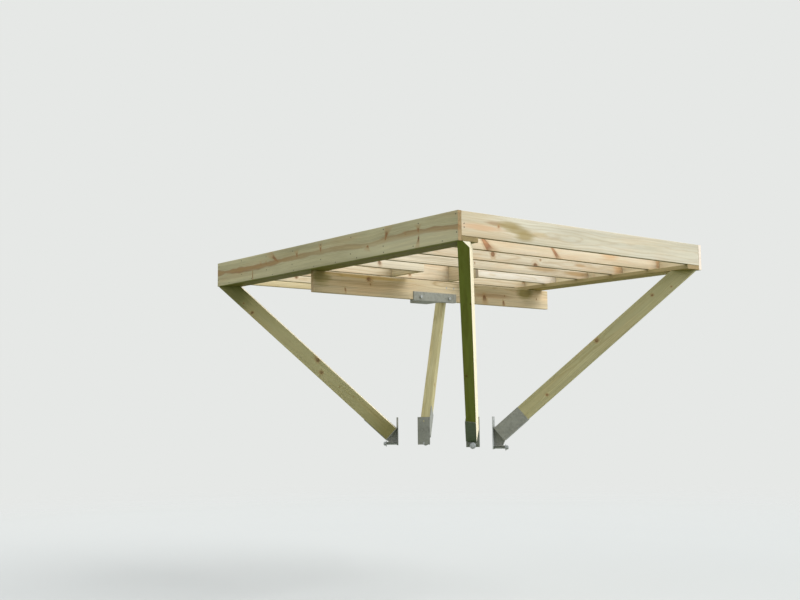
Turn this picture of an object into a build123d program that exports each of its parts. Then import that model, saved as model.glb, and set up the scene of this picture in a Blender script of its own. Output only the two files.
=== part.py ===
"""Raised platform frame: joists between two edge boards, a centre beam and four knee braces.

X runs across the frame, along the joists. Y runs from the front rim joist to the back one.
Z is up. The origin lies on the back face of the beam saddle's arm, in the middle of the
plate that is bolted to the rear support.
"""
from build123d import *
from math import asin, atan2, cos, degrees, hypot, sin
import os

os.makedirs("parts", exist_ok=True)

# Platform timber
board = 38.0
arris = 3.0
frame_width = 2860.0
edge_board_depth = 222.0
joist_depth = 184.0
joist_spacing = 422.0
joist_bays = 8
ledger_width = 160.0

# Joist that is cut short at the front support, and the blocks that carry its cut ends
cut_joist = 4
joist_gap = 660.0
joist_gap_centre = 15.0

# Centre beam, as long as the frame is wide, with its front face this far behind the front of
# the frame, and fixed this far to the right
beam_depth = 184.0
beam_set_back = 1913.0
beam_to_right = 73.0

# Knee braces, standing on two round supports given by their centres
brace_width = 89.0
brace_depth = 140.0
brace_drop = 1352.0
front_support = (190.0, -523.0)
rear_support = (180.0, 211.0)
front_left_seat = (135.0, 74.0)
front_right_seat = (103.0, 118.0)
back_left_seat = (105.0, 60.0)
back_right_seat = (110.0, 74.0)

# Distance from the centre of the support to the back of each bracket
front_left_reach = 215.0
front_right_reach = 184.0
back_left_reach = 215.0
back_right_reach = 215.0

# Turn of each brace and its sleeve about the brace's own axis, in degrees
front_left_roll = -8.0
front_right_roll = 0.0
back_left_roll = -8.0
back_right_roll = 0.0

# Steel brackets under the braces
plate = 6.0
back_plate_width = 120.0
front_left_plate = 267.0
front_right_plate = 292.0
back_left_plate = 263.0
back_right_plate = 267.0
wood_clear = 10.0
sleeve_length = 280.0
wood_below_top = 100.0
shelf_length = 108.0
shelf_above_bottom = 26.0
web_set_in = 22.0
bracket_hole = 14.0
hole_below_top = 40.0

# Anchor bolt under each bracket shelf
bolt = 22.0
bolt_hole_play = 1.0
bolt_tail = 5.0
bolt_washer = 56.0
washer_thickness = 5.0
bolt_nut = 36.0
nut_height = 18.0

# Bolts of the centre beam
beam_bolt = 16.0
bolt_play = 0.3
beam_bolt_head = 26.0
beam_head_height = 11.0
beam_bolt_spacing = 90.0
washer_plate = 80.0

# Steel saddle under the beam, with an arm that reaches back to the rear support
saddle_length = 520.0
saddle_lip = 80.0
saddle_bolt_from_end = 87.0
saddle_bolt_height = 30.0
arm_length = 200.0
arm_width = 200.0
arm_bolt_spacing = 130.0

# Worked out from the sizes above
frame_length = joist_bays * joist_spacing + board
half_width = frame_width / 2
beam_back = -arm_length
beam_front = beam_back - board
front = beam_front - beam_set_back
back = front + frame_length
underside = beam_depth / 2
ledger_top = underside + board
deck = underside + edge_board_depth
joist_bottom = deck - joist_depth
inner_face = half_width - board


def slab(x0, x1, y0, y1, z0, z1):
    """A block between two corners."""
    size = (x1 - x0, y1 - y0, z1 - z0)
    return Pos((x0 + x1) / 2, (y0 + y1) / 2, (z0 + z1) / 2) * Box(*size)


def planed(shape, grain):
    """A timber with the four long edges along its grain rounded off, as planed boards have."""
    return fillet(shape.edges().filter_by(grain), arris)


def joist_front(number):
    """Y of the front face of a joist, the front rim joist being number 0."""
    return front + number * joist_spacing


def joist(number, x0, x1):
    y0 = joist_front(number)
    return planed(slab(x0, x1, y0, y0 + board, joist_bottom, deck), Axis.X)


def rod(radius, start, length):
    """A round bar along +Y from a point."""
    return Pos(*start) * Rot(-90, 0, 0) * Cylinder(
        radius, length, align=(Align.CENTER, Align.CENTER, Align.MIN))


def hexagon(across_flats, start, length):
    """A six-sided head or nut along +Y from a point."""
    shape = RegularPolygon(across_flats / 2, 6, major_radius=False)
    return Pos(*start) * Rot(-90, 0, 0) * extrude(shape, length)


nodes = {}

# Edge boards, ledgers and joists
for side, name in ((-1, "left"), (1, "right")):
    x_out, x_in = side * half_width, side * inner_face
    x_ledger = side * (inner_face - ledger_width)
    nodes["edge_board_" + name] = planed(slab(
        min(x_out, x_in), max(x_out, x_in), front, back, underside, deck), Axis.Y)
    nodes["ledger_" + name] = planed(slab(
        min(x_in, x_ledger), max(x_in, x_ledger), front, back, underside, ledger_top), Axis.Y)

for number in range(joist_bays + 1):
    if number == cut_joist:
        continue
    name = {0: "rim_joist_front", joist_bays: "rim_joist_back"}.get(number, "joist_%d" % number)
    nodes[name] = joist(number, -inner_face, inner_face)

gap_left = joist_gap_centre - joist_gap / 2
gap_right = joist_gap_centre + joist_gap / 2
nodes["joist_%d_left" % cut_joist] = joist(cut_joist, -inner_face, gap_left)
nodes["joist_%d_right" % cut_joist] = joist(cut_joist, gap_right, inner_face)
block_front = joist_front(cut_joist) + board
block_back = joist_front(cut_joist + 1)
nodes["joist_block_left"] = planed(slab(
    gap_left - board, gap_left, block_front, block_back, joist_bottom, deck), Axis.Y)
nodes["joist_block_right"] = planed(slab(
    gap_right, gap_right + board, block_front, block_back, joist_bottom, deck), Axis.Y)

# Centre beam, bolted to the front support above the saddle that carries it
saddle_low = -beam_depth / 2 - plate
lip_top = saddle_low + saddle_lip
beam_bolt_z = (lip_top + underside) / 2
beam_holes = [(front_support[0] - beam_bolt_spacing / 2, beam_bolt_z),
              (front_support[0] + beam_bolt_spacing / 2, beam_bolt_z)]
saddle_bolt_x = saddle_length / 2 - saddle_bolt_from_end
saddle_holes = [(-saddle_bolt_x, saddle_bolt_height - beam_depth / 2),
                (saddle_bolt_x, saddle_bolt_height - beam_depth / 2)]
beam = planed(slab(beam_to_right - half_width, beam_to_right + half_width, beam_front, beam_back,
                   -beam_depth / 2, underside), Axis.X)
for x, z in beam_holes + saddle_holes:
    beam -= rod(beam_bolt / 2 + bolt_play, (x, beam_front - board, z), 3 * board)
nodes["centre_beam"] = beam

plate_half = (beam_bolt_spacing + washer_plate) / 2
beam_bolts = slab(front_support[0] - plate_half, front_support[0] + plate_half, beam_back,
                  beam_back + plate, beam_bolt_z - washer_plate / 2,
                  beam_bolt_z + washer_plate / 2)
for x, z in beam_holes:
    beam_bolts += rod(beam_bolt / 2, (x, beam_front, z), board + plate)
    beam_bolts += hexagon(beam_bolt_head, (x, beam_back + plate, z), beam_head_height)
nodes["beam_bolts"] = beam_bolts

# Saddle: base, two lips, and an arm of a base, two side ribs and an end plate
saddle = slab(-saddle_length / 2, saddle_length / 2, beam_front - plate, beam_back + plate,
              saddle_low, saddle_low + plate)
for y in (beam_front - plate, beam_back):
    saddle += slab(-saddle_length / 2, saddle_length / 2, y, y + plate, saddle_low, lip_top)
saddle += slab(-arm_width / 2, arm_width / 2, beam_back, 0, saddle_low, saddle_low + plate)
end_plate = slab(-arm_width / 2, arm_width / 2, -plate, 0, saddle_low, -saddle_low)
for x in (-arm_bolt_spacing / 2, arm_bolt_spacing / 2):
    for z in (-arm_bolt_spacing / 2, arm_bolt_spacing / 2):
        end_plate -= rod(bracket_hole / 2, (x, -2 * plate, z), 3 * plate)
saddle += end_plate
for x in (-arm_width / 2, arm_width / 2 - plate):
    rib = make_face(Polyline((x, beam_back + plate, saddle_low + plate),
                             (x, beam_back + plate, lip_top),
                             (x, -plate, -saddle_low),
                             (x, -plate, saddle_low + plate), close=True))
    saddle += extrude(rib, plate, dir=(1, 0, 0))
for x, z in saddle_holes:
    saddle -= rod(beam_bolt / 2 + bolt_play, (x, beam_front - board, z), 3 * board)
nodes["beam_saddle"] = saddle

for (x, z), name in zip(saddle_holes, ("left", "right")):
    head_at = beam_front - plate - beam_head_height
    through_bolt = rod(beam_bolt / 2, (x, head_at, z), board + 2 * plate + 2 * beam_head_height)
    through_bolt += hexagon(beam_bolt_head, (x, head_at, z), beam_head_height)
    through_bolt += hexagon(beam_bolt_head, (x, beam_back + plate, z), beam_head_height)
    nodes["saddle_bolt_" + name] = through_bolt


# Knee braces, each in a vertical plane through the axis of its support.
# In that plane u runs outwards from the back of the bracket and z runs up.
def extrude_across(points, width):
    """A profile of (u, z) points with its thickness centred on v = 0."""
    face = make_face(Polyline(*[(u, 0, z) for u, z in points], close=True))
    return extrude(face, width / 2, dir=(0, 1, 0), both=True)


class Brace:
    """The line of one knee brace, from its bracket on a support to its seat under a corner."""

    def __init__(self, support, x_side, y_side, seat, reach, roll, plate_height):
        seat_x = x_side * (half_width - seat[0])
        seat_y = back - seat[1] if y_side > 0 else front + seat[1]
        run_x, run_y = seat_x - support[0], seat_y - support[1]
        self.heading = atan2(run_y, run_x)
        self.foot = (support[0] + reach * cos(self.heading),
                     support[1] + reach * sin(self.heading))
        self.heel = (plate + wood_clear, underside - brace_drop)
        rise, run = brace_drop, hypot(run_x, run_y) - reach - self.heel[0]
        self.slope = atan2(rise, run) + asin(brace_depth / 2 / hypot(rise, run))
        self.roll = roll
        self.plate_top = self.heel[1] + wood_below_top
        self.plate_bottom = self.plate_top - plate_height

    def along(self, start, distance):
        return (start[0] + distance * cos(self.slope), start[1] + distance * sin(self.slope))

    def below(self, start, distance):
        return (start[0] + distance * sin(self.slope), start[1] - distance * cos(self.slope))

    def at_top(self, start):
        """Where a line along the brace from start meets the underside of the frame."""
        return self.along(start, (underside - start[1]) / sin(self.slope))

    def rolled(self, shape):
        """Turned about the middle line of the brace."""
        centre = self.below(self.heel, brace_depth / 2)
        axis = Axis((centre[0], 0, centre[1]), (cos(self.slope), 0, sin(self.slope)))
        return shape.rotate(axis, self.roll)

    def place(self, shape):
        return Pos(self.foot[0], self.foot[1], 0) * Rot(0, 0, degrees(self.heading)) * shape

    def bolt_level(self):
        """Height of the anchor bolt's axis, which lies close under the shelf."""
        return self.plate_bottom + shelf_above_bottom - bolt / 2

    def timber(self):
        heel, toe = self.heel, self.below(self.heel, brace_depth)
        head = (self.along(self.at_top(heel), brace_width), self.along(self.at_top(toe), brace_width))
        body = extrude_across([heel, head[0], head[1], toe], brace_width)
        grain = Axis((0, 0, 0), (cos(self.slope), 0, sin(self.slope)))
        body = self.rolled(planed(body, grain))
        outline = slab(-half_width, half_width, front, back, -2 * brace_drop, underside)
        return self.place(body) & outline

    def bracket(self):
        """Back plate, end plate, sole, one cheek, shelf and gusset, welded into one piece."""
        heel, toe = self.heel, self.below(self.heel, brace_depth)
        back_plate = slab(0, plate, -back_plate_width / 2, back_plate_width / 2,
                          self.plate_bottom, self.plate_top)
        through = Rot(0, 90, 0) * Cylinder(bracket_hole / 2, 4 * plate)
        bolt_through = Rot(0, 90, 0) * Cylinder((bolt + bolt_hole_play) / 2, 4 * plate)
        back_plate -= Pos(0, 0, self.plate_top - hole_below_top) * through
        back_plate -= Pos(0, 0, self.bolt_level()) * bolt_through
        sole_out = self.below(toe, plate)
        end_in = self.along(heel, -plate)
        corner = self.along(sole_out, -plate)
        weld_low = self.below(end_in, -(end_in[0] - plate) / sin(self.slope))
        end_plate = extrude_across([self.below(heel, -heel[0] / sin(self.slope)), toe,
                                    self.along(toe, -plate),
                                    self.below(end_in, -end_in[0] / sin(self.slope))], brace_width)
        sole = extrude_across([self.along(toe, -plate), self.along(toe, sleeve_length),
                               self.along(sole_out, sleeve_length), corner], brace_width)
        cheek_face = extrude_across([end_in, self.along(heel, sleeve_length),
                                     self.along(sole_out, sleeve_length), corner], plate)
        cheek = Pos(0, -(brace_width + plate) / 2, 0) * cheek_face
        ahead = slab(plate / 2, brace_drop, -brace_depth, brace_depth, -2 * brace_drop, 0)
        sleeve = self.rolled(end_plate + sole + cheek) & ahead
        shelf_low = self.plate_bottom + shelf_above_bottom
        shelf = slab(plate, shelf_length, -brace_width / 2, brace_width / 2,
                     shelf_low, shelf_low + plate)
        web_out = shelf_length - web_set_in
        web = extrude_across([weld_low, corner, (web_out, shelf_low + plate),
                              (plate, shelf_low + plate)], plate)
        return self.place(back_plate + sleeve + shelf + web)

    def anchor_bolt(self):
        """Bar under the shelf, with its washer and nut at the outer end."""
        level = self.bolt_level()
        nut_at = shelf_length + washer_thickness
        bar = rod(bolt / 2, (0, 0, level), nut_at + nut_height + bolt_tail)
        washer = rod(bolt_washer / 2, (0, shelf_length, level), washer_thickness)
        nut = hexagon(bolt_nut, (0, nut_at, level), nut_height)
        return self.place(Rot(0, 0, -90) * (bar + washer + nut))


braces = {
    "front_left": Brace(front_support, -1, -1, front_left_seat, front_left_reach,
                        front_left_roll, front_left_plate),
    "front_right": Brace(front_support, 1, -1, front_right_seat, front_right_reach,
                         front_right_roll, front_right_plate),
    "back_left": Brace(rear_support, -1, 1, back_left_seat, back_left_reach,
                       back_left_roll, back_left_plate),
    "back_right": Brace(rear_support, 1, 1, back_right_seat, back_right_reach,
                        back_right_roll, back_right_plate),
}
for corner, brace in braces.items():
    nodes["brace_" + corner] = brace.timber()
    nodes["bracket_" + corner] = brace.bracket()
    nodes["anchor_bolt_" + corner] = brace.anchor_bolt()
    print(corner, "heading", round(degrees(brace.heading), 3),
          "slope", round(degrees(brace.slope), 2), "foot", [round(v, 2) for v in brace.foot])

for name, shape in nodes.items():
    export_step(shape, os.path.join("parts", name + ".step"))
print(len(nodes), "nodes")
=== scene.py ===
"""Looks of a raised timber platform frame on knee braces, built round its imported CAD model."""
import math

import bpy
import numpy as np
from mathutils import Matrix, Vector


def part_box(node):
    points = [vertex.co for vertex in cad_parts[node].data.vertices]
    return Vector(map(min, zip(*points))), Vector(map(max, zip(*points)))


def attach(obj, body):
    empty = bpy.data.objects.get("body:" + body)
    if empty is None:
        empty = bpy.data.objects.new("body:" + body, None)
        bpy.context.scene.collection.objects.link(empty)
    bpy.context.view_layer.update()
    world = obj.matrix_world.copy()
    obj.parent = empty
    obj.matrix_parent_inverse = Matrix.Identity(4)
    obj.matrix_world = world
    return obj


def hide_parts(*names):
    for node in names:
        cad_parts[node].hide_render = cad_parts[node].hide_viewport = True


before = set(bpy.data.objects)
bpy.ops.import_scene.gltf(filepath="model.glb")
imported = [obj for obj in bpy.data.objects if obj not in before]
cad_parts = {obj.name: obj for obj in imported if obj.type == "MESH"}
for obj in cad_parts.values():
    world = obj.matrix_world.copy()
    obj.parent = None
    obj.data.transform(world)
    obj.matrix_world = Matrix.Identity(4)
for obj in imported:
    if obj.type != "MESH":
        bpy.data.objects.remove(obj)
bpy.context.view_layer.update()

# EDGE BOARDS
# The two long sides of the platform are planed 38 x 222 mm boards of pressure-treated pine, cut
# square at the ends and nailed to the ends of the joists. The copper salts leave the sapwood
# olive, and the heart shows as a brown streak.


def linear(code):
    """sRGB hex to a linear colour: v/12.92 below 0.04045, else ((v + 0.055)/1.055)^2.4."""
    v = np.array([int(code[i:i + 2], 16) for i in (0, 2, 4)]) / 255
    v = np.where(v < 0.04045, v / 12.92, ((v + 0.055) / 1.055) ** 2.4)
    return (*v.tolist(), 1.0)


def add(graph, kind, inputs=(), **settings):
    """Adds a node with its settings; each input is a number to set, or a node or socket to link."""
    node = graph.nodes.new("ShaderNode" + kind)
    for name, value in settings.items():
        setattr(node, name, value)
    for key, value in inputs.items() if isinstance(inputs, dict) else enumerate(inputs):
        if isinstance(value, bpy.types.Node):
            value = next(s for s in value.outputs if s.enabled)
        if isinstance(value, bpy.types.NodeSocket):
            graph.links.new(value, node.inputs[key])
        elif value is not None:
            node.inputs[key].default_value = value
    return node


def new_material(name):
    """An empty node material and its node graph."""
    material = bpy.data.materials.new(name)
    material.use_nodes = True
    material.node_tree.nodes.clear()
    return material, material.node_tree


def new_piece(name, points, faces, material):
    """A mesh of points and faces that rides on the frame; faces turn out if the volume is negative."""
    points, faces = np.asarray(points, float), [tuple(f) for f in faces]
    a, b, c = (points[[f[i] for f in faces]] for i in range(3))
    d = points[[f[-1] for f in faces]]
    volume = (a * np.cross(b, c)).sum() + (a * np.cross(c, d)).sum()
    if volume < 0:
        faces = [f[::-1] for f in faces]
    mesh = bpy.data.meshes.new(name)
    mesh.from_pydata(points.tolist(), [], faces)
    mesh.validate()
    mesh.shade_smooth()
    mesh.set_sharp_from_angle(angle=math.radians(40))
    mesh.materials.append(material)
    piece = bpy.data.objects.new(name, mesh)
    bpy.context.scene.collection.objects.link(piece)
    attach(piece, "root")
    return piece


def waves(at, rng, longest, high):
    """A smooth random line: the sum of five sines of falling length and height, from 0 to high."""
    total = sum(np.sin(2 * np.pi * at * 1.7 ** k / longest + rng.uniform(0, 6.3)) / 1.6 ** k
                for k in range(5))
    return high * (0.5 + 0.5 * np.clip(total / 1.9, -1, 1))


def planed_board(node, material, seed):
    """A rounded rectangle carried along the grain, closed at both ends by shrinking rings.

    Point (i, j) is station i along the board and point j round the section. The corner radius,
    the crook of the edges and the cup of the faces vary along the board within 2 mm, always
    inside the sawn size, and the section shrinks by 0.7 mm at the saw cuts.
    """
    low, high = (np.array(v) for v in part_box(node))
    through, across, grain = np.argsort(high - low)
    length, width, thick = (high - low)[[grain, across, through]]
    rng = np.random.default_rng(seed)
    arris, crook, bow, cup_depth, saw_wear = 0.0022, 0.0010, 0.0006, 0.0008, 0.0007
    ends = np.array([0, saw_wear, 0.004])
    between = np.linspace(0.02, length - 0.02, int(length / 0.03))
    stations = np.concatenate([ends, between, length - ends[::-1]])
    radius = arris + waves(stations, rng, 1.1, arris)[:, None]
    corner = np.radians(np.linspace(0, 90, 5))
    flat = np.linspace(0, 1, 9)[1:-1]
    half_w = width / 2 - 0.0004 - waves(stations, rng, 3.0, crook)[:, None]
    half_t = thick / 2 - 0.0006 - waves(stations, rng, 2.2, bow)[:, None]
    ring_y, ring_z = [], []
    for sy, sz in ((1, 1), (-1, 1), (-1, -1), (1, -1)):
        angle = corner if sy * sz > 0 else corner[::-1]
        cy = sy * (half_w - radius + radius * np.cos(angle))
        cz = sz * (half_t - radius + radius * np.sin(angle))
        ring_y.append(cy)
        ring_z.append(cz)
    ys, zs = [], []
    for k in range(4):
        y0, z0 = ring_y[k][:, -1:], ring_z[k][:, -1:]
        y1, z1 = ring_y[(k + 1) % 4][:, :1], ring_z[(k + 1) % 4][:, :1]
        cup = cup_depth * np.sin(np.pi * flat) if k in (0, 2) else 0 * flat
        inward = -1 if k == 0 else 1
        ys += [ring_y[k], y0 + (y1 - y0) * flat]
        zs += [ring_z[k], z0 + (z1 - z0) * flat + inward * cup]
    y, z = np.hstack(ys), np.hstack(zs)
    shrink = np.ones(len(stations))
    shrink[[0, -1]] = 1 - 2 * saw_wear / thick
    y, z = y * (1 - (1 - shrink[:, None]) * thick / width), z * shrink[:, None]
    inner = [0.7, 0.35]
    y = np.vstack([y[:1] * f for f in inner[::-1]] + [y] + [y[-1:] * f for f in inner])
    z = np.vstack([z[:1] * f for f in inner[::-1]] + [z] + [z[-1:] * f for f in inner])
    x = np.concatenate([[0] * len(inner), stations, [length] * len(inner)])
    rows, cols = y.shape
    points = np.zeros((rows * cols + 2, 3))
    points[:, grain] = np.append(np.repeat(x, cols), [0, length]) + low[grain]
    points[:, across] = np.append(y.ravel(), [0, 0]) + (low[across] + high[across]) / 2
    points[:, through] = np.append(z.ravel(), [0, 0]) + (low[through] + high[through]) / 2
    i, j = np.meshgrid(np.arange(rows - 1), np.arange(cols), indexing="ij")
    a, b = i * cols + j, i * cols + (j + 1) % cols
    quads = np.stack([a, b, b + cols, a + cols], -1).reshape(-1, 4).tolist()
    j = np.arange(cols)
    first = np.stack([(j + 1) % cols, j, 0 * j + rows * cols], -1)
    last = np.stack([j + (rows - 1) * cols, (j + 1) % cols + (rows - 1) * cols,
                     0 * j + rows * cols + 1], -1)
    piece = new_piece("board_" + node, points, quads + first.tolist() + last.tolist(), material)
    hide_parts(node)
    return piece


def treated_pine(name, start, turn, pith, sapwood, shade, late, blush="dcb48a", knots=(), stains_and_shade=(),
                 heart=0.0, heart_colour="8a6840", heart_line=None, seed=0, face=0.0, contrast=1.0,
                 cut=(0.55, 0.85, "b58a55", 0.35, 0.2), faces=(), knot_colours=("a8744a", "67452b")):
    """Planed, pressure-treated pine, whose figure is a cut through solid rings and knots.

    start is the board's low end, bottom and outer face; turn takes its grain, width and thickness
    to X, Y and Z. The rings are circles round the pith line, (pith y, pith z) from start, which
    sways along the grain. A knot (x, y, radius, lean) is a cone from the pith that ends at that
    point of the face, leaning along the grain by its last number times its reach. A stain, or a
    patch of painted shade, is (x, y, half length, half width, colour, strength). cut is the share
    of the grain in the normal where a saw cut starts and is whole, then its colour, the colour's
    share and how much darker it is. faces are painted light and shade: (way out, colour, how it
    is mixed), which makes the sides that face that way lighter or darker.
    """
    material, graph = new_material(name)
    rng = np.random.default_rng(seed)
    here = add(graph, "TexCoord")
    board = add(graph, "Mapping", {0: here.outputs["Object"], 1: start, 2: turn}, vector_type="TEXTURE")
    split = add(graph, "SeparateXYZ", [board])
    # the pith line sways some 12 mm over half a metre, and the fibres waver by 2 mm, in waves
    # 200 mm long and 38 mm wide
    sway = 0.012
    bend = add(graph, "TexNoise", {"W": split.outputs[0], "Scale": 1.1, "Detail": 2.0},
               noise_dimensions="1D")
    bend = add(graph, "VectorMath", [bend.outputs["Color"], (0.5, 0.5, 0.5)], operation="SUBTRACT")
    bend = add(graph, "VectorMath", [bend, (0.0, 2 * sway, 2 * sway)], operation="MULTIPLY")

    def along_grain(places, top):
        """A curve through (distance along the grain, value up to top), as a share of top."""
        span = places[-1][0]
        along = add(graph, "Math", [split.outputs[0], span], operation="DIVIDE")
        line = add(graph, "FloatCurve", {"Value": along})
        curve = line.mapping.curves[0]
        for at, value in places[1:-1]:
            curve.points.new(at / span, value / top)
        curve.points[0].location = (0.0, places[0][1] / top)
        curve.points[-1].location = (1.0, places[-1][1] / top)
        line.mapping.update()
        return line

    if heart_line:
        line = along_grain(heart_line, 0.25)
        rise = add(graph, "Math", [line, 0.25, -pith[0]], operation="MULTIPLY_ADD")
        rise = add(graph, "CombineXYZ", [0.0, rise, 0.0])
        bend = add(graph, "VectorMath", [bend, (0.0, 0.1, 0.3)], operation="MULTIPLY")
        bend = add(graph, "VectorMath", [rise, bend], operation="ADD")
    grainwise = add(graph, "VectorMath", [board, (5.0, 26.0, 26.0)], operation="MULTIPLY")
    waver = add(graph, "TexNoise", {"Vector": grainwise, "Scale": 1.0, "Detail": 3.0})
    waver = add(graph, "VectorMath", [waver.outputs["Color"], (0.5, 0.5, 0.5)], operation="SUBTRACT")
    strength = 0.022 if heart_line else 0.010
    bend = add(graph, "VectorMath", [waver, (0.0, strength, strength), bend], operation="MULTIPLY_ADD")
    pith_at = (0.0, pith[0], pith[1])
    centred = add(graph, "VectorMath", [board, pith_at], operation="SUBTRACT")
    pith_space = add(graph, "VectorMath", [centred, bend], operation="SUBTRACT")
    flat = add(graph, "VectorMath", [pith_space, (0.0, 1.0, 1.0)], operation="MULTIPLY")
    from_pith = add(graph, "VectorMath", [flat], operation="LENGTH").outputs["Value"]
    # how far out in a knot's cone a point lies, 1 being its edge, for the nearest knot; the cone
    # grows from 0.3 of the knot's radius at the pith, and ends just past the face
    nearest = 9.0
    for x, y, size, lean in knots:
        base_y = np.interp(x, *zip(*heart_line)) if heart_line else pith[0]
        tip = np.array([x, y - base_y, face - pith[1]])
        root = np.array([x - lean * np.hypot(tip[1], tip[2]), 0.0, 0.0])
        reach = np.linalg.norm(tip - root)
        way = (tip - root) / reach
        offset = add(graph, "VectorMath", [pith_space, root.tolist()], operation="SUBTRACT")
        out = add(graph, "VectorMath", [offset, way.tolist()], operation="DOT_PRODUCT").outputs["Value"]
        off_axis = add(graph, "VectorMath", [offset, way.tolist()], operation="CROSS_PRODUCT")
        off_axis = add(graph, "VectorMath", [off_axis], operation="LENGTH").outputs["Value"]
        limit = add(graph, "Math", [out, 0.7 * size / reach, 0.3 * size], operation="MULTIPLY_ADD")
        limit = add(graph, "Math", [limit, 0.0004], operation="MAXIMUM")
        share = add(graph, "Math", [off_axis, limit], operation="DIVIDE")
        end = add(graph, "Math", [out, 1 / (reach + 0.8 * size)], operation="MULTIPLY")
        share = add(graph, "Math", [share, end], operation="MAXIMUM")
        nearest = add(graph, "Math", [share, nearest], operation="MINIMUM")
    # rings swell round a knot, by 12 mm at its middle
    swell_height = 0.012
    swell = add(graph, "Math", [nearest, nearest], operation="MULTIPLY")
    swell = add(graph, "Math", [swell, -0.35], operation="MULTIPLY")
    swell = add(graph, "Math", [swell], operation="EXPONENT")
    swollen = add(graph, "Math", [swell, swell_height, from_pith], operation="MULTIPLY_ADD")
    # growth rings are 3 to 5 mm apart; drawn 8 mm apart so that the figure shows from afar
    ring_gap = 0.008
    ring = add(graph, "Math", [swollen, ring_gap], operation="DIVIDE")
    uneven = add(graph, "TexNoise", {"W": ring, "Scale": 0.35, "Detail": 1.0}, noise_dimensions="1D")
    ring = add(graph, "Math", [uneven.outputs[0], 2.5, ring], operation="MULTIPLY_ADD")
    ring = add(graph, "Math", [ring], operation="FRACT")
    latewood = add(graph, "ValToRGB", [ring])
    ramp = latewood.color_ramp
    ramp.elements[0].position, ramp.elements[0].color = 0.0, (0.25, 0.25, 0.25, 1)
    ramp.elements[1].position, ramp.elements[1].color = 1.0, (0.25, 0.25, 0.25, 1)
    for place, value in ((0.15, 0.0), (0.55, 0.15), (0.85, 1.0)):
        ramp.elements.new(place).color = (value, value, value, 1)
    # fibres in streaks 4 mm wide and 140 mm long, and 24 mm wide and 830 mm long, over blotches
    # of the treatment 140 mm wide and 900 mm long
    fine = add(graph, "VectorMath", [board, (7.0, 260.0, 260.0)], operation="MULTIPLY")
    fine = add(graph, "TexNoise", {"Vector": fine, "Scale": 1.0, "Detail": 3.0, "Roughness": 0.6})
    wide = add(graph, "VectorMath", [pith_space, (1.2, 42.0, 42.0)], operation="MULTIPLY")
    wide = add(graph, "TexNoise", {"Vector": wide, "Scale": 1.0, "Detail": 3.0})
    blotch = add(graph, "VectorMath", [board, (1.1, 7.0, 7.0)], operation="MULTIPLY")
    blotch = add(graph, "VectorMath", [blotch, rng.uniform(0, 40, 3).tolist()], operation="ADD")
    blotch = add(graph, "TexNoise", {"Vector": blotch, "Scale": 1.0, "Detail": 4.0, "Roughness": 0.6})
    patch = add(graph, "MapRange", {0: blotch.outputs[0], 1: 0.34, 2: 0.66})
    colour = add(graph, "Mix", {0: patch, 6: linear(sapwood), 7: linear(shade)}, data_type="RGBA")
    warm = add(graph, "SeparateXYZ", [blotch.outputs["Color"]]).outputs[1]
    warm = add(graph, "MapRange", {0: warm, 1: 0.5, 2: 0.7, 3: 0.0, 4: 0.45})
    colour = add(graph, "Mix", {0: warm, 6: colour, 7: linear(blush)}, data_type="RGBA")
    late_share = add(graph, "Math", [latewood, 0.42 * contrast], operation="MULTIPLY")
    colour = add(graph, "Mix", {0: late_share, 6: colour, 7: linear(late)}, data_type="RGBA")
    tone = add(graph, "Math", [wide.outputs[0], 0.5 * contrast, 1 - 0.25 * contrast],
               operation="MULTIPLY_ADD")
    tone = add(graph, "Math", [fine.outputs[0], 0.22, tone], operation="MULTIPLY_ADD")
    tone = add(graph, "Math", [tone, 0.11], operation="SUBTRACT")
    if heart:
        # the heart's edge wanders by 16 mm along the board, with redder wood just inside it
        swing = add(graph, "TexNoise", {"W": split.outputs[0], "Scale": 4.2, "Detail": 2.0},
                    noise_dimensions="1D")
        ragged = add(graph, "Math", [wide.outputs[0], 0.022, from_pith], operation="MULTIPLY_ADD")
        ragged = add(graph, "Math", [swing.outputs[0], 0.030, ragged], operation="MULTIPLY_ADD")
        core = add(graph, "MapRange", {0: ragged, 1: heart + 0.034, 2: heart + 0.016})
        stronger = along_grain([(0.0, 0.85), (0.45, 0.75), (1.0, 0.45), (1.5, 0.35), (2.1, 0.55),
                                (2.5, 0.8), (3.414, 0.75)], 1.0)
        within = add(graph, "Math", [core, stronger], operation="MULTIPLY")
        colour = add(graph, "Mix", {0: within, 6: colour, 7: linear(heart_colour)}, data_type="RGBA")
        margin = add(graph, "Math", [core, core], operation="MULTIPLY")
        margin = add(graph, "Math", [core, margin], operation="SUBTRACT")
        margin = add(graph, "Math", [margin, stronger], operation="MULTIPLY")
        margin = add(graph, "Math", [margin, 2.0], operation="MULTIPLY")
        colour = add(graph, "Mix", {0: margin, 6: colour, 7: linear("8a5a36")}, data_type="RGBA")
    # stains, and patches of painted shade
    for x, y, long, high, tint, share in stains_and_shade:
        spot = add(graph, "VectorMath", [board, (x, y, 0.0)], operation="SUBTRACT")
        spot = add(graph, "VectorMath", [spot, (1 / long, 1 / high, 0.0)], operation="MULTIPLY")
        spot = add(graph, "VectorMath", [spot], operation="LENGTH").outputs["Value"]
        spot = add(graph, "Math", [wide.outputs[0], 1.1, spot], operation="MULTIPLY_ADD")
        spot = add(graph, "Math", [fine.outputs[0], 0.7, spot], operation="MULTIPLY_ADD")
        spot = add(graph, "MapRange", {0: spot, 1: 2.05, 2: 1.45, 3: 0.0, 4: share})
        colour = add(graph, "Mix", {0: spot, 6: colour, 7: linear(tint)}, data_type="RGBA")
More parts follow.
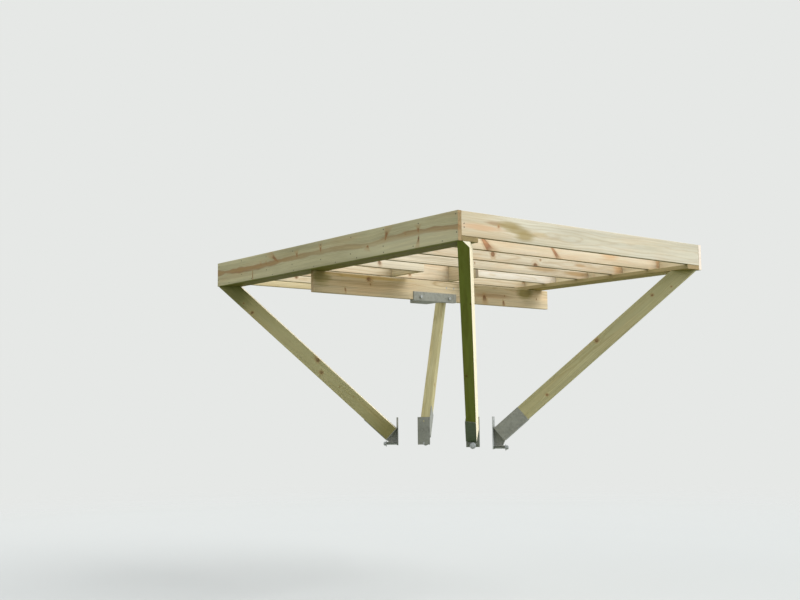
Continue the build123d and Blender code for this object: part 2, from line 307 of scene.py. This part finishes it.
    # a knot is red-brown with a darker rim, in a halo of resin
    halo = add(graph, "MapRange", {0: nearest, 1: 2.4, 2: 1.0, 3: 0.0, 4: 0.5})
    colour = add(graph, "Mix", {0: halo, 6: colour, 7: linear("b08450")}, data_type="RGBA")
    knot = add(graph, "MapRange", {0: nearest, 1: 1.15, 2: 0.85, 3: 0.0, 4: 0.85})
    outer = add(graph, "MapRange", {0: nearest, 1: 0.5, 2: 0.95})
    middle, rim = (linear(code) for code in knot_colours)
    knot_colour = add(graph, "Mix", {0: outer, 6: middle, 7: rim}, data_type="RGBA")
    colour = add(graph, "Mix", {0: knot, 6: colour, 7: knot_colour}, data_type="RGBA")
    # painted light and shade: the sides that face one way are made lighter or darker
    for way, tint, blend in faces:
        way = add(graph, "VectorRotate", {0: way, 4: turn}, rotation_type="EULER_XYZ")
        on_face = add(graph, "VectorMath", [here.outputs["Normal"], way], operation="DOT_PRODUCT")
        on_face = add(graph, "MapRange", {0: on_face.outputs["Value"], 1: 0.4, 2: 0.8})
        colour = add(graph, "Mix", {0: on_face, 6: colour, 7: linear(tint)}, data_type="RGBA",
                     blend_type=blend)
    # the saw cuts drink more of the treatment, or dry out paler
    cut_from, cut_to, cut_tint, cut_share, cut_dark = cut
    way = add(graph, "VectorRotate", {0: (1.0, 0.0, 0.0), 4: turn}, rotation_type="EULER_XYZ")
    sawn = add(graph, "VectorMath", [here.outputs["Normal"], way], operation="DOT_PRODUCT")
    sawn = add(graph, "Math", [sawn.outputs["Value"]], operation="ABSOLUTE")
    sawn = add(graph, "MapRange", {0: sawn, 1: cut_from, 2: cut_to})
    tinted = add(graph, "Math", [sawn, cut_share], operation="MULTIPLY")
    colour = add(graph, "Mix", {0: tinted, 6: colour, 7: linear(cut_tint)}, data_type="RGBA")
    darker = add(graph, "Math", [sawn, -cut_dark, tone], operation="MULTIPLY_ADD")
    shades = add(graph, "CombineXYZ", [darker, darker, darker])
    colour = add(graph, "Mix", {0: 1.0, 6: colour, 7: shades}, data_type="RGBA", blend_type="MULTIPLY")
    height = add(graph, "Math", [latewood, 0.4, fine.outputs[0]], operation="MULTIPLY_ADD")
    bump = add(graph, "Bump", {"Strength": 0.35, "Distance": 0.0012, "Height": height})
    rough = add(graph, "MapRange", {0: fine.outputs[0], 1: 0.2, 2: 0.8, 3: 0.62, 4: 0.86})
    shader = add(graph, "BsdfPrincipled", {"Base Color": colour, "Roughness": rough,
                                          "Specular IOR Level": 0.3, "Normal": bump})
    add(graph, "OutputMaterial", {"Surface": shader})
    return material


# turns for boards on edge along X and along Y, and for one laid flat along Y
along_x = (math.pi / 2, 0.0, 0.0)
along_y = (math.pi / 2, 0.0, math.pi / 2)
flat_y = (0.0, 0.0, math.pi / 2)

# olive grey, with a brown streak of heart, red-brown knots and an underside painted green as shade
low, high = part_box("edge_board_left")
left_pine = treated_pine(
    "Treated_pine_left_side", (low.x, low.y, low.z), along_y, pith=(0.112, 0.006),
    sapwood="cac4a2", shade="b4ae8c", late="9c8e64", blush="c4a67c", contrast=1.25,
    heart=0.018, heart_colour="a07d4c", cut=(0.55, 0.85, "b58a50", 0.60, 0.42),
    # painted shade: the underside made darker and greener
    knot_colours=("a67a50", "7a5636"), faces=[((0.0, -1.0, 0.0), "a8b05e", "MULTIPLY")],
    stains_and_shade=[(0.55, 0.05, 0.8, 0.07, "dcd8b8", 0.5)],
    heart_line=[(0.0, 0.097), (0.45, 0.117), (0.8, 0.112), (1.05, 0.097), (1.4, 0.122),
                (1.7, 0.127), (2.1, 0.122), (2.4, 0.117), (2.7, 0.114), (3.414, 0.127)],
    knots=[(0.590, 0.117, 0.008, 0.2), (0.44, 0.137, 0.009, 0.0), (0.44, 0.057, 0.008, 0.2),
           (0.82, 0.157, 0.014, -0.4), (1.06, 0.089, 0.009, 0.2), (1.705, 0.157, 0.008, 0.1),
           (2.06, 0.147, 0.009, 0.2), (2.43, 0.167, 0.013, 1.4), (2.55, 0.125, 0.005, 0.2),
           (2.64, 0.128, 0.005, 0.2), (2.78, 0.030, 0.006, 0.0)],
    seed=1)
planed_board("edge_board_left", left_pine, 1)

# straw yellow, and nearly white at the ends, with painted light on the inner face
low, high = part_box("edge_board_right")
right_pine = treated_pine(
    "Treated_pine_right_side", (low.x, low.y, low.z), along_y, pith=(0.05, -0.07),
    sapwood="cfc399", shade="bfae82", late="a8905f", cut=(0.55, 0.85, "efe3dc", 0.75, 0.0),
    knots=[(1.2, 0.08, 0.016, 0.2), (1.9, 0.15, 0.013, 0.2), (2.75, 0.06, 0.018, 0.2)], face=0.038,
    # painted light: the inner face made lighter
    faces=[((0.0, 0.0, -1.0), "d8ccb0", "SCREEN")],
    seed=2)
planed_board("edge_board_right", right_pine, 2)

# FRONT AND BACK RIM JOISTS
# The rims are planed 2x8 joists of the same pine, nailed between the edge boards. The front one
# has a stain of the treatment near its left end.

# cream, with a pink blush, an olive-brown stain and an underside darker as painted shade
low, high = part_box("rim_joist_front")
rim_pine = treated_pine(
    "Treated_pine_front_rim", (low.x, low.y, low.z), along_x, pith=(0.082, 0.10),
    sapwood="cac6b6", shade="bbb49e", late="ab997a", blush="c8b294",
    knots=[(0.367, 0.099, 0.009, 0.2)], knot_colours=("b58058", "8a5c3c"),
    stains_and_shade=[(0.10, 0.09, 0.42, 0.20, "b9a582", 0.4), (0.19, 0.078, 0.26, 0.028, "cd9a70", 0.45),
            (0.34, 0.122, 0.11, 0.020, "8f6c44", 0.6), (0.48, 0.122, 0.14, 0.034, "968556", 0.85),
            (0.57, 0.090, 0.15, 0.034, "968556", 0.75), (0.64, 0.055, 0.11, 0.038, "968556", 0.85),
            (0.80, 0.082, 0.09, 0.02, "b9a273", 0.4)],
    # painted shade: the underside made darker
    faces=[((0.0, -1.0, 0.0), "c0b690", "MULTIPLY")], seed=3)
planed_board("rim_joist_front", rim_pine, 3)

# straw yellow, with large knots on the outer face
low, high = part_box("rim_joist_back")
back_pine = treated_pine(
    "Treated_pine_back_rim", (low.x, low.y, low.z), along_x, pith=(0.12, -0.09),
    sapwood="d6c9a6", shade="c4b48c", late="a98f5f",
    knots=[(0.5, 0.12, 0.017, 0.2), (1.4, 0.05, 0.013, 0.2), (2.2, 0.14, 0.016, 0.2)], face=0.038,
    seed=4)
planed_board("rim_joist_back", back_pine, 4)

# LEDGERS
# A flat board of the same pine nailed along the inside of each edge board, under the joist
# ends, carries them. It is planed, and cut square at both ends.

# tan, and browner where it is sawn; the underside is darker as painted shade, and green on the left one
for side, underside_shade, end, seed in (("left", "989e50", "86703e", 5), ("right", "fff6e0", "a3875a", 6)):
    low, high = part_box("ledger_" + side)
    ledger_pine = treated_pine(
        "Treated_pine_ledger_" + side, (high.x, low.y, low.z), flat_y, pith=(0.07, 0.12),
        sapwood="c9bb92", shade="b6a67c", late="98804f", blush="b6a67c",
        # painted shade: the underside tinted darker, and green on the left one
        cut=(0.55, 0.85, end, 0.7, 0.25), faces=[((0.0, 0.0, -1.0), underside_shade, "MULTIPLY")],
        knots=[(0.9, 0.05, 0.014, 0.2), (2.3, 0.11, 0.012, 0.2)], seed=seed)
    planed_board("ledger_" + side, ledger_pine, seed)

# JOISTS
# Seven planed 2x8 joists cross the platform, standing on the ledgers and nailed through the
# edge boards. The fourth is cut where the front support passes, and two blocks carry its ends.

# cream to pale pink, and brighter than the sides, each with knots and tan patches of its own, and an
# underside darker as painted shade
joist_looks = {
    "joist_1": dict(pith=(0.13, -0.012), sapwood="e9decb", shade="dccdb2", late="c4a478",
                    knot_colours=("bb855c", "86553a"),
                    knots=[(0.662, 0.028, 0.027, 0.9), (1.437, 0.025, 0.015, 0.9)],
                    stains_and_shade=[(2.10, 0.10, 0.14, 0.06, "d9a468", 0.5),
                            (2.76, 0.09, 0.03, 0.09, "d5a066", 0.5)]),
    "joist_2": dict(pith=(0.05, 0.09), sapwood="dad1bf", shade="cec2aa", late="b4976c",
                    knots=[(1.117, 0.062, 0.022, 0.2), (1.685, 0.063, 0.008, 0.2),
                           (1.622, 0.008, 0.022, 0.2)],
                    stains_and_shade=[(2.2, 0.05, 0.08, 0.015, "b08a5a", 0.6),
                            (2.72, 0.09, 0.07, 0.09, "d8a870", 0.5)]),
    "joist_3": dict(pith=(0.10, -0.08), sapwood="ded5c3", shade="d0c5ae", late="b3966c",
                    contrast=1.3, knots=[(1.30, 0.05, 0.006, 0.2)],
                    stains_and_shade=[(2.15, 0.062, 0.23, 0.026, "a58352", 0.7),
                            (2.62, 0.05, 0.20, 0.025, "aa8856", 0.7)]),
    "joist_4_left": dict(pith=(0.14, 0.10), sapwood="e4dccb", shade="d6cbb4", late="b79e74",
                         knots=[(0.572, 0.045, 0.014, 0.2), (0.872, 0.085, 0.006, 0.2)]),
    "joist_4_right": dict(pith=(0.03, -0.09), sapwood="ede7de", shade="e3dacb", late="c6b08a",
                          knots=[(0.4, 0.12, 0.010, 0.2)]),
    "joist_5": dict(pith=(0.08, 0.11), sapwood="e1d7c0", shade="d2c5a8", late="b39366"),
    "joist_6": dict(pith=(0.15, -0.10), sapwood="e3d9c2", shade="d4c7aa", late="b5966a"),
    "joist_7": dict(pith=(0.04, 0.08), sapwood="e5dcc6", shade="d7cab0", late="ba9f73"),
}
for seed, (name, looks) in enumerate(joist_looks.items(), 10):
    low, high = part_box(name)
    rng = np.random.default_rng(seed)
    knots = looks.pop("knots", None) or [
        (x, rng.uniform(0.03, 0.16), rng.uniform(0.008, 0.018), 0.2)
        for x in np.arange(0.3, high.x - low.x - 0.2, 0.75) + rng.uniform(0, 0.3)]
    joist_pine = treated_pine("Treated_pine_" + name, (low.x, low.y, low.z), along_x, knots=knots,
                              # painted shade: the underside made darker
                              faces=[((0.0, -1.0, 0.0), "bcb090", "MULTIPLY")], seed=seed, **looks)
    planed_board(name, joist_pine, seed)
# straw yellow, a little darker than the joists
for side, seed in (("left", 20), ("right", 21)):
    low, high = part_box("joist_block_" + side)
    block_pine = treated_pine(
        "Treated_pine_block_" + side, (low.x, low.y, low.z), along_y, pith=(0.06, 0.09),
        sapwood="dfd4b6", shade="d1c29e", late="b39366", knots=[(0.2, 0.13, 0.012, 0.2)], seed=seed)
    planed_board("joist_block_" + side, block_pine, seed)

# NAILS
# Zinc-coated nails with heads 9 mm across, gone dull and dark, are driven flush through the edge
# boards into the ends of the rims and joists and into the ledgers. Two more hold the front rim.
# Their dark is partly the weathered zinc and partly painted shade of the hollow round each head.


def galvanised(name, light, dark, rough, back=None, green_shade_way=None):
    """Hot-dip zinc: crystals 15 mm across in two greys, under a dull oxide bloom.

    back is a point and a heading; within 7 mm of the upright plane they give the zinc is painted
    bright, a painted highlight on that plate. film is the way out of a side that is painted dark
    green as shade under green bounced light.
    """
    material, graph = new_material(name)
    here = add(graph, "TexCoord")
    crystals = add(graph, "TexVoronoi", {"Vector": here.outputs["Object"], "Scale": 65.0})
    bloom = add(graph, "TexNoise", {"Vector": here.outputs["Object"], "Scale": 14.0, "Detail": 4.0})
    mixed = add(graph, "Math", [crystals.outputs["Color"], 0.5, bloom.outputs[0]],
                operation="MULTIPLY_ADD")
    share = add(graph, "MapRange", {0: mixed, 1: 0.35, 2: 1.0})
    colour = add(graph, "Mix", {0: share, 6: linear(dark), 7: linear(light)}, data_type="RGBA")
    if back:
        (x, y), heading = back
        out = (math.cos(heading), math.sin(heading), 0.0)
        # painted highlight: the back plate's face made paler
        back_highlight = add(graph, "VectorMath", [here.outputs["Object"], (x, y, 0.0)], operation="SUBTRACT")
        back_highlight = add(graph, "VectorMath", [back_highlight, out], operation="DOT_PRODUCT").outputs["Value"]
        back_highlight = add(graph, "MapRange", {0: back_highlight, 1: 0.0075, 2: 0.0065})
        colour = add(graph, "Mix", {0: back_highlight, 6: colour, 7: linear("b8bcbe")}, data_type="RGBA")
    if green_shade_way:
        # painted shade: the side that looks the given way tinted dark green
        green_shade = add(graph, "VectorMath", [here.outputs["Normal"], green_shade_way], operation="DOT_PRODUCT")
        green_shade = add(graph, "MapRange", {0: green_shade.outputs["Value"], 1: 0.4, 2: 0.9})
        colour = add(graph, "Mix", {0: green_shade, 6: colour, 7: linear("9cb08a")}, data_type="RGBA",
                     blend_type="MULTIPLY")
    roughness = add(graph, "MapRange", {0: bloom.outputs[0], 1: 0.3, 2: 0.7, 3: rough, 4: rough + 0.2})
    bump = add(graph, "Bump", {"Strength": 0.15, "Distance": 0.001, "Height": bloom.outputs[0]})
    shader = add(graph, "BsdfPrincipled", {"Base Color": colour, "Roughness": roughness,
                                          "Metallic": 0.25, "Normal": bump})
    add(graph, "OutputMaterial", {"Surface": shader})
    return material


def nail_heads(name, places, out, material):
    """Dished discs at a list of places: a profile of (radius, height) turned round the way out."""
    profile = np.array([(0.0, -0.10), (1.5, -0.05), (3.4, 0.15), (4.3, 0.10), (4.7, -0.2), (4.6, -1.6),
                        (0.0, -1.6)]) / 1000
    angle = np.radians(np.arange(0, 360, 24))
    out = np.array(out, float)
    side = np.cross(out, (0.0, 0.0, 1.0))
    up = np.cross(side, out)
    ring = side * np.cos(angle)[:, None] + up * np.sin(angle)[:, None]
    head = profile[:, 0, None, None] * ring + profile[:, 1, None, None] * out
    points = np.array(places)[:, None, None] + head
    count, rows, cols = points.shape[:3]
    n, i, j = np.meshgrid(np.arange(count), np.arange(rows - 1), np.arange(cols), indexing="ij")
    a, b = (n * rows + i) * cols + j, (n * rows + i) * cols + (j + 1) % cols
    quads = np.stack([a, b, b + cols, a + cols], -1).reshape(-1, 4)
    return new_piece(name, points.reshape(-1, 3), quads, material)


# dark grey specks, hardly shiny; darker than weathered zinc alone, as painted shade of the hollow round
# each head
weathered_zinc_and_shade = galvanised("Weathered_zinc_nail_and_painted_shade", "55524a", "34322c", 0.55)
platform_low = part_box("edge_board_left")[0]
front_right_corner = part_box("edge_board_right")[1]
half_board, joist_spacing, rims_and_joists, sunk = 0.019, 0.422, 9, 0.0003
joist_middles = platform_low.y + half_board + joist_spacing * np.arange(rims_and_joists)
joist_nails, ledger_nail, rim_nails, from_rim_end = (0.190, 0.064), 0.017, (0.091, 0.064), 0.025
ledger_nails = platform_low.y + np.array(
    [0.17, 0.5, 0.858, 1.205, 1.495, 1.804, 2.109, 2.444, 2.8, 3.2])
for side, face, way in (("left", platform_low.x + sunk, -1),
                        ("right", front_right_corner.x - sunk, 1)):
    rng = np.random.default_rng(60 + way)
    places = [(face, y + rng.uniform(-0.006, 0.006), platform_low.z + t + rng.uniform(-0.008, 0.008))
              for y in joist_middles for t in joist_nails]
    places += [(face, y, platform_low.z + ledger_nail + rng.uniform(-0.004, 0.004))
               for y in ledger_nails]
    nail_heads("nails_" + side, places, (way, 0, 0), weathered_zinc_and_shade)
rim_left, rim_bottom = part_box("rim_joist_front")[0].x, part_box("rim_joist_front")[0].z
nail_heads("nails_front", [(rim_left + from_rim_end, platform_low.y + sunk, rim_bottom + t)
                           for t in rim_nails], (0, -1, 0), weathered_zinc_and_shade)

# CENTRE BEAM
# One planed 2x8 of the same pine stands on edge under the joists, bolted to the front support
# and held in a steel saddle.

# light brown in bold streaks, with olive patches near its ends
low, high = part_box("centre_beam")
beam_pine = treated_pine(
    "Treated_pine_beam", (platform_low.x, low.y, low.z), along_x, pith=(0.16, -0.07),
    sapwood="dccdb0", shade="c8b795", late="a08356", blush="d6b088", contrast=1.5,
    knots=[(0.66, 0.150, 0.016, 0.8), (0.68, 0.106, 0.006, 0.2), (0.407, 0.036, 0.007, 0.2),
           (2.06, 0.062, 0.020, 0.2), (2.315, 0.022, 0.012, 0.2), (2.33, 0.095, 0.005, 0.2),
           (2.775, 0.093, 0.006, 0.2)],
    stains_and_shade=[(0.15, 0.13, 0.11, 0.07, "8f8248", 0.75), (0.66, 0.165, 0.50, 0.020, "c9a660", 0.7),
            (2.61, 0.14, 0.12, 0.070, "86793f", 0.9), (2.15, 0.09, 0.30, 0.03, "a8845c", 0.6)],
    seed=30)
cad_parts["centre_beam"].data.materials.clear()
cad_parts["centre_beam"].data.materials.append(beam_pine)

# KNEE BRACES
# Four planed 4x6 posts of the same pine run from the steel brackets up to the corners. Their
# heads are cut level under the frame and trimmed flush with its sides.

platform_half, platform_front, platform_back, platform_under = 1.43, -2.151, 1.263, 0.092
brace_drop, brace_depth, brace_width, plate, wood_clear = 1.352, 0.140, 0.089, 0.006, 0.010
brace_lines = {}
for name, support, sx, sy, seat, to_plate, roll, plate_height in (
        ("front_left", (0.190, -0.523), -1, -1, (0.135, 0.074), 0.215, -8, 0.267),
        ("front_right", (0.190, -0.523), 1, -1, (0.103, 0.118), 0.184, 0, 0.292),
        ("back_left", (0.180, 0.211), -1, 1, (0.105, 0.060), 0.215, -8, 0.263),
        ("back_right", (0.180, 0.211), 1, 1, (0.110, 0.074), 0.215, 0, 0.267)):
    seat_x = sx * (platform_half - seat[0])
    seat_y = platform_back - seat[1] if sy > 0 else platform_front + seat[1]
    run_x, run_y = seat_x - support[0], seat_y - support[1]
    heading = math.atan2(run_y, run_x)
    reach = math.hypot(run_x, run_y) - to_plate - plate - wood_clear
    slope = math.atan2(brace_drop, reach) + math.asin(brace_depth / 2 / math.hypot(brace_drop, reach))
    on_face = (support[0] + to_plate * math.cos(heading), support[1] + to_plate * math.sin(heading))
    brace_lines[name] = (on_face, heading, slope, math.radians(roll), plate_height)
# olive grey with small dark knots; on two braces the top face or the lit side is paler as a painted
# highlight, the front left one has painted green shade on its face that looks down and out, and
# the back left one has painted shadow at its head and foot; quarter is how many quarter turns
# lead from the top face to the one with the knots
brace_looks = {
    "front_left": dict(quarter=2, sapwood="c3bd92", shade="b0a97e", late="94854f", blush="c0a878",
                       # painted green shade on the face that looks down and out, and a painted
                       # highlight on the lit side
                       faces=[((0.0, 0.0, 1.0), "c2d492", "MULTIPLY"),
                              ((0.0, -1.0, 0.0), "f3e8cd", "MIX")],
                       knots=[(1.777, -0.035, 0.007, 0.2), (0.9, 0.02, 0.010, 0.2)]),
    "front_right": dict(quarter=1, sapwood="c6c098", shade="b4af86", late="928250", blush="c0a878",
                        knots=[(1.821, 0.021, 0.009, 0.4), (1.992, -0.035, 0.005, 0.2),
                               (1.195, 0.040, 0.014, 0.5), (0.55, -0.02, 0.010, 0.2)]),
    "back_left": dict(quarter=3, sapwood="c3bd92", shade="b0a97e", late="94854f", blush="c0a878",
                      # a painted highlight on the top face
                      faces=[((0.0, -1.0, 0.0), "f3e8cd", "MIX")],
                      # painted shadow under the frame at the head and at the foot, and a paler patch
                      # along the middle
                      stains_and_shade=[(2.02, 0.0, 0.20, 0.3, "6b703c", 0.6),
                              (1.12, 0.0, 0.55, 0.5, "dcd6ae", 0.45),
                              (0.0, 0.0, 0.36, 0.5, "857f4e", 0.45),
                              (-0.06, 0.0, 0.22, 0.5, "7a7444", 0.6)],
                      knots=[(1.748, 0.041, 0.010, 0.2), (0.985, -0.049, 0.016, 0.9),
                             (0.878, 0.014, 0.013, 0.5), (1.868, 0.029, 0.005, 0.2),
                             (0.662, 0.003, 0.004, 0.2), (0.501, -0.019, 0.004, 0.4)]),
    "back_right": dict(quarter=1, sapwood="c3bd92", shade="b0a97e", late="94854f", blush="c0a878",
                       knots=[(0.6, 0.03, 0.012, 0.2), (1.4, -0.02, 0.014, 0.2)]),
}
for seed, (name, (on_face, heading, slope, roll, _)) in enumerate(brace_lines.items(), 40):
    # from the middle of the foot, X runs up the brace and Z out of the face with the knots
    out = plate + wood_clear + brace_depth / 2 * math.sin(slope)
    foot = (on_face[0] + out * math.cos(heading), on_face[1] + out * math.sin(heading),
            platform_under - brace_drop - brace_depth / 2 * math.cos(slope))
    looks = brace_looks[name]
    quarter = looks.pop("quarter")
    brace_pine = treated_pine(
        "Treated_pine_brace_" + name, foot, (roll + quarter * math.pi / 2, -slope, heading),
        pith=(0.01, -0.05 if quarter == 2 else -0.03),
        face=brace_depth / 2 if quarter == 2 else brace_width / 2,
        cut=(0.40, 0.55, "dfd9c6", 0.8, 0.0), seed=seed, **looks)
    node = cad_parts["brace_" + name]
    node.data.materials.clear()
    node.data.materials.append(brace_pine)

# STEEL
# Brackets and saddle are cut from 6 mm mild steel plate, welded and then hot-dip galvanised.
# Their bolts are zinc-plated steel.

# mid grey, matt and faintly spangled on the plates, paler and a little shinier on the bolts;
# one back plate has a painted highlight, and one sole is painted dark green as shade
plate_steel = galvanised("Galvanised_steel_plate", "9a9c95", "7c7e77", 0.5)
bolt_steel = galvanised("Zinc_plated_steel_bolt", "bcc0c2", "9a9ea0", 0.4)
bracket_steel = {}
for name, (on_face, heading, slope, *_) in brace_lines.items():
    down = (math.cos(heading) * math.sin(slope), math.sin(heading) * math.sin(slope), -math.cos(slope))
    bracket_steel["bracket_" + name] = galvanised(
        "Galvanised_steel_bracket_" + name, "9a9c95", "7c7e77", 0.5,
        # painted light: a highlight on the front right back plate, and green shade on the front left
        # sole
        back=(on_face, heading) if name == "front_right" else None,
        green_shade_way=down if name == "front_left" else None)
for name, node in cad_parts.items():
    steel = bracket_steel.get(name, plate_steel if name == "beam_saddle" else bolt_steel)
    if name.startswith("bracket_") or name == "beam_saddle" or "bolt" in name:
        node.data.materials.clear()
        node.data.materials.append(steel)
        edges = node.modifiers.new("rounded_edges", "BEVEL")
        # sheared edges rounded to 0.9 mm by the zinc
        edges.width, edges.segments = 0.0009, 2
        edges.limit_method, edges.angle_limit = "ANGLE", math.radians(40)
        edges.harden_normals = True


def weld(starts, ends, radius=0.0034):
    """Closed tubes along straight joints; the radius swells by a tenth at each 5 mm ripple."""
    points, faces = [], []
    ripple, step = 0.005, 0.0012
    angle = np.radians(np.arange(0, 360, 36))
    sides = len(angle)
    for start, end in zip(np.array(starts), np.array(ends)):
        length = np.linalg.norm(end - start)
        way = (end - start) / length
        side = np.cross(way, (0.31, 0.52, 0.80))
        side /= np.linalg.norm(side)
        up = np.cross(side, way)
        at = np.linspace(0, length, max(8, int(length / step)))
        size = radius * (1 + 0.10 * np.abs(np.sin(np.pi * at / ripple)))
        size *= np.sqrt(np.clip(1 - (2 * at / length - 1) ** 40, 0, 1))
        ring = side * np.cos(angle)[:, None] + up * np.sin(angle)[:, None]
        tube = start + way * at[:, None, None] + size[:, None, None] * ring
        first = sum(len(p) for p in points)
        i, j = np.meshgrid(np.arange(len(at) - 1), np.arange(sides), indexing="ij")
        a, b = i * sides + j, i * sides + (j + 1) % sides
        faces.append(first + np.stack([a, b, b + sides, a + sides], -1).reshape(-1, 4))
        points.append(tube.reshape(-1, 3))
    return np.vstack(points), np.vstack(faces)


# beads along the end plate, the shelf and both sides of the web, in the plane of each brace
wood_below_top, shelf_above_bottom, web_out, bead_half, web_half = 0.100, 0.026, 0.086, 0.043, 0.003
for name, (on_face, heading, slope, _, plate_height) in brace_lines.items():
    c, s = math.cos(slope), math.sin(slope)
    shelf_bottom = platform_under - brace_drop + wood_below_top - plate_height + shelf_above_bottom
    shelf_top = shelf_bottom + plate
    heel = np.array([plate + wood_clear, platform_under - brace_drop])
    inner = heel - plate * np.array([c, s])
    joint = np.array([plate, inner[1] + (inner[0] - plate) * c / s])
    corner = inner + (brace_depth + plate) * np.array([s, -c])
    lines = [(joint[0], -bead_half, joint[1], joint[0], bead_half, joint[1]),
             (plate, -bead_half, shelf_bottom, plate, bead_half, shelf_bottom)]
    for v in (-web_half, web_half):
        lines += [(joint[0], v, joint[1], corner[0], v, corner[1]),
                  (plate, v, shelf_top, plate, v, joint[1]),
                  (plate, v, shelf_top, web_out, v, shelf_top)]
    ends = np.array(lines).reshape(-1, 3)
    u, v, z = ends.T
    ch, sh = math.cos(heading), math.sin(heading)
    ends = np.stack([on_face[0] + u * ch - v * sh, on_face[1] + u * sh + v * ch, z], -1)
    points, faces = weld(ends[0::2], ends[1::2])
    new_piece("welds_" + name, points, faces, bracket_steel["bracket_" + name])
# inside the saddle's arm the ribs and the end plate are welded to its base and to the lip
rib, base, lip, lip_top, end, end_top = 0.094, -0.092, -0.194, -0.018, -0.006, 0.098
lines = [(-rib, lip, base, rib, lip, base), (-rib, end, base, rib, end, base)]
for x in (-rib, rib):
    lines += [(x, lip, base, x, end, base), (x, lip, base, x, lip, lip_top),
              (x, end, base, x, end, end_top)]
ends = np.array(lines).reshape(-1, 3)
points, faces = weld(ends[0::2], ends[1::2])
new_piece("welds_saddle", points, faces, plate_steel)

# FLOOR, LIGHT AND CAMERA
# A plain pale floor, level and 80 m across, fades into a plain pale backdrop, under three soft
# lamps. The light that it sends back to the timber is dim and olive, which the undersides show.

floor_level, floor_half, rows = -2.76, 40, 41
across = np.linspace(-floor_half, floor_half, rows)
gx, gy = np.meshgrid(across, across, indexing="ij")
points = np.stack([gx, gy, 0 * gx + floor_level], -1).reshape(-1, 3)
i, j = np.meshgrid(np.arange(rows - 1), np.arange(rows - 1), indexing="ij")
a = i * rows + j
faces = np.stack([a, a + rows, a + rows + 1, a + 1], -1).reshape(-1, 4)
mesh = bpy.data.meshes.new("floor")
mesh.from_pydata(points.tolist(), [], faces.tolist())
floor = bpy.data.objects.new("floor", mesh)
bpy.context.scene.collection.objects.link(floor)

# matt pale grey, which grows clear from 5 to 16 m out, where the backdrop takes over
backdrop = linear("e6e8e6")
material, graph = new_material("Pale_floor")
path = add(graph, "LightPath")
seen = add(graph, "Math", [path.outputs["Is Camera Ray"], path.outputs["Is Glossy Ray"]],
           operation="MAXIMUM")
seen = add(graph, "Math", [seen, path.outputs["Is Transmission Ray"]], operation="MAXIMUM")
to_timber = add(graph, "BsdfDiffuse", {"Color": linear("60682f")})
pale = add(graph, "BsdfDiffuse", {"Color": linear("c6c8c6")})
surface = add(graph, "MixShader", [seen, to_timber, pale])
here = add(graph, "TexCoord")
away = add(graph, "VectorMath", [here.outputs["Object"], (0.0, 0.0, floor_level)], operation="SUBTRACT")
away = add(graph, "VectorMath", [away], operation="LENGTH").outputs["Value"]
fade_from, fade_to = 5.0, 16.0
fade = add(graph, "MapRange", {0: away, 1: fade_from, 2: fade_to}, interpolation_type="SMOOTHSTEP")
clear = add(graph, "BsdfTransparent")
surface = add(graph, "MixShader", [fade, surface, clear])
# one-sided, so that it doesn't hide the frame from a camera under it
under = add(graph, "NewGeometry").outputs["Backfacing"]
surface = add(graph, "MixShader", [under, surface, clear])
add(graph, "OutputMaterial", {"Surface": surface})
floor.data.materials.append(material)

world = bpy.data.worlds.new("studio")
bpy.context.scene.world = world
world.use_nodes = True
graph = world.node_tree
graph.nodes.clear()
path = add(graph, "LightPath")
seen = add(graph, "Math", [path.outputs["Is Camera Ray"], path.outputs["Is Glossy Ray"]],
           operation="MAXIMUM")
seen = add(graph, "Math", [seen, path.outputs["Is Transmission Ray"]], operation="MAXIMUM")
here = add(graph, "TexCoord")
up = add(graph, "SeparateXYZ", [here.outputs["Generated"]]).outputs[2]
up = add(graph, "MapRange", {0: up, 1: -0.1, 2: 0.1})
ambient = add(graph, "Mix", {0: up, 6: (0.15, 0.16, 0.06, 1.0), 7: (0.68, 0.70, 0.72, 1.0)},
              data_type="RGBA")
light = add(graph, "Mix", {0: seen, 6: ambient, 7: backdrop}, data_type="RGBA")
background = add(graph, "Background", {"Color": light, "Strength": 1.0})
add(graph, "OutputWorld", {"Surface": background})


def far_lamp(name, towards, strength, angle):
    """A soft far lamp that shines from a direction."""
    lamp = bpy.data.lights.new(name, "SUN")
    lamp.energy, lamp.angle = strength, math.radians(angle)
    holder = bpy.data.objects.new(name, lamp)
    bpy.context.scene.collection.objects.link(holder)
    holder.rotation_mode = "QUATERNION"
    holder.rotation_quaternion = Vector(towards).to_track_quat("Z", "Y")


far_lamp("key", (0.36, -0.68, 0.64), 2.9, 50)
far_lamp("side", (0.80, -0.60, 0.08), 1.0, 30)
far_lamp("fill", (-0.85, 0.15, 0.5), 0.55, 60)

camera = bpy.data.cameras.new("camera")
camera.lens, camera.sensor_width = 49.5, 36.0
camera.clip_start, camera.clip_end = 0.1, 200.0
eye = bpy.data.objects.new("camera", camera)
right = (0.77750816, -0.62879103, -0.0101445)
up = (-0.0575632, -0.08722264, 0.99452435)
forward = (0.62623282, 0.77266685, 0.10401154)
eye.matrix_world = Matrix([
    (right[0], up[0], -forward[0], -6.6213),
    (right[1], up[1], -forward[1], -7.8953),
    (right[2], up[2], -forward[2], -1.1388),
    (0.0, 0.0, 0.0, 1.0)])
bpy.context.scene.collection.objects.link(eye)
bpy.context.scene.camera = eye
bpy.context.scene.view_settings.view_transform = "Standard"
